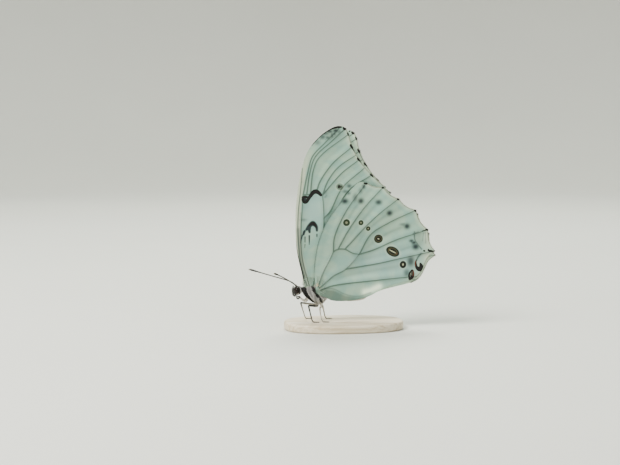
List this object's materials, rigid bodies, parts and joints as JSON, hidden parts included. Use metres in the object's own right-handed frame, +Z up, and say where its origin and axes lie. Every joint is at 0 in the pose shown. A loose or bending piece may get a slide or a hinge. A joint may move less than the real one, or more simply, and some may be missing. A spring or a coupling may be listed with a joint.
{
  "type": "white morpho butterfly model",
  "caption": "Life-size still model of a white morpho butterfly standing with closed upright wings on a plain oval base.",
  "frame": {"origin": "on the floor under the middle of the whole model's box: centre of the length and width, underside of the base", "axes": "+X from head to tail, +Y to the butterfly's right side, +Z up; the closed wings stand nearly in the XZ plane"},
  "size_m": [0.0688, 0.03, 0.0746],
  "materials": {
    "base": "matte",
    "body": "matte",
    "head": "matte",
    "eye": "gloss",
    "antenna": "satin",
    "leg": "matte",
    "wing": "satin"
  },
  "bodies": {
    "root": {"stand_base": "base", "thorax": "body", "abdomen": "body", "head": "head", "eye_left": "eye", "eye_right": "eye", "antenna_left": "antenna", "antenna_right": "antenna", "palp_left": "head", "palp_right": "head", "proboscis": "antenna", "foreleg_left": "leg", "foreleg_right": "leg", "midleg_left": "leg", "midleg_right": "leg", "hindleg_left": "leg", "hindleg_right": "leg", "forewing_left": "wing", "forewing_right": "wing", "hindwing_left": "wing", "hindwing_right": "wing"}
  },
  "joints": []
}
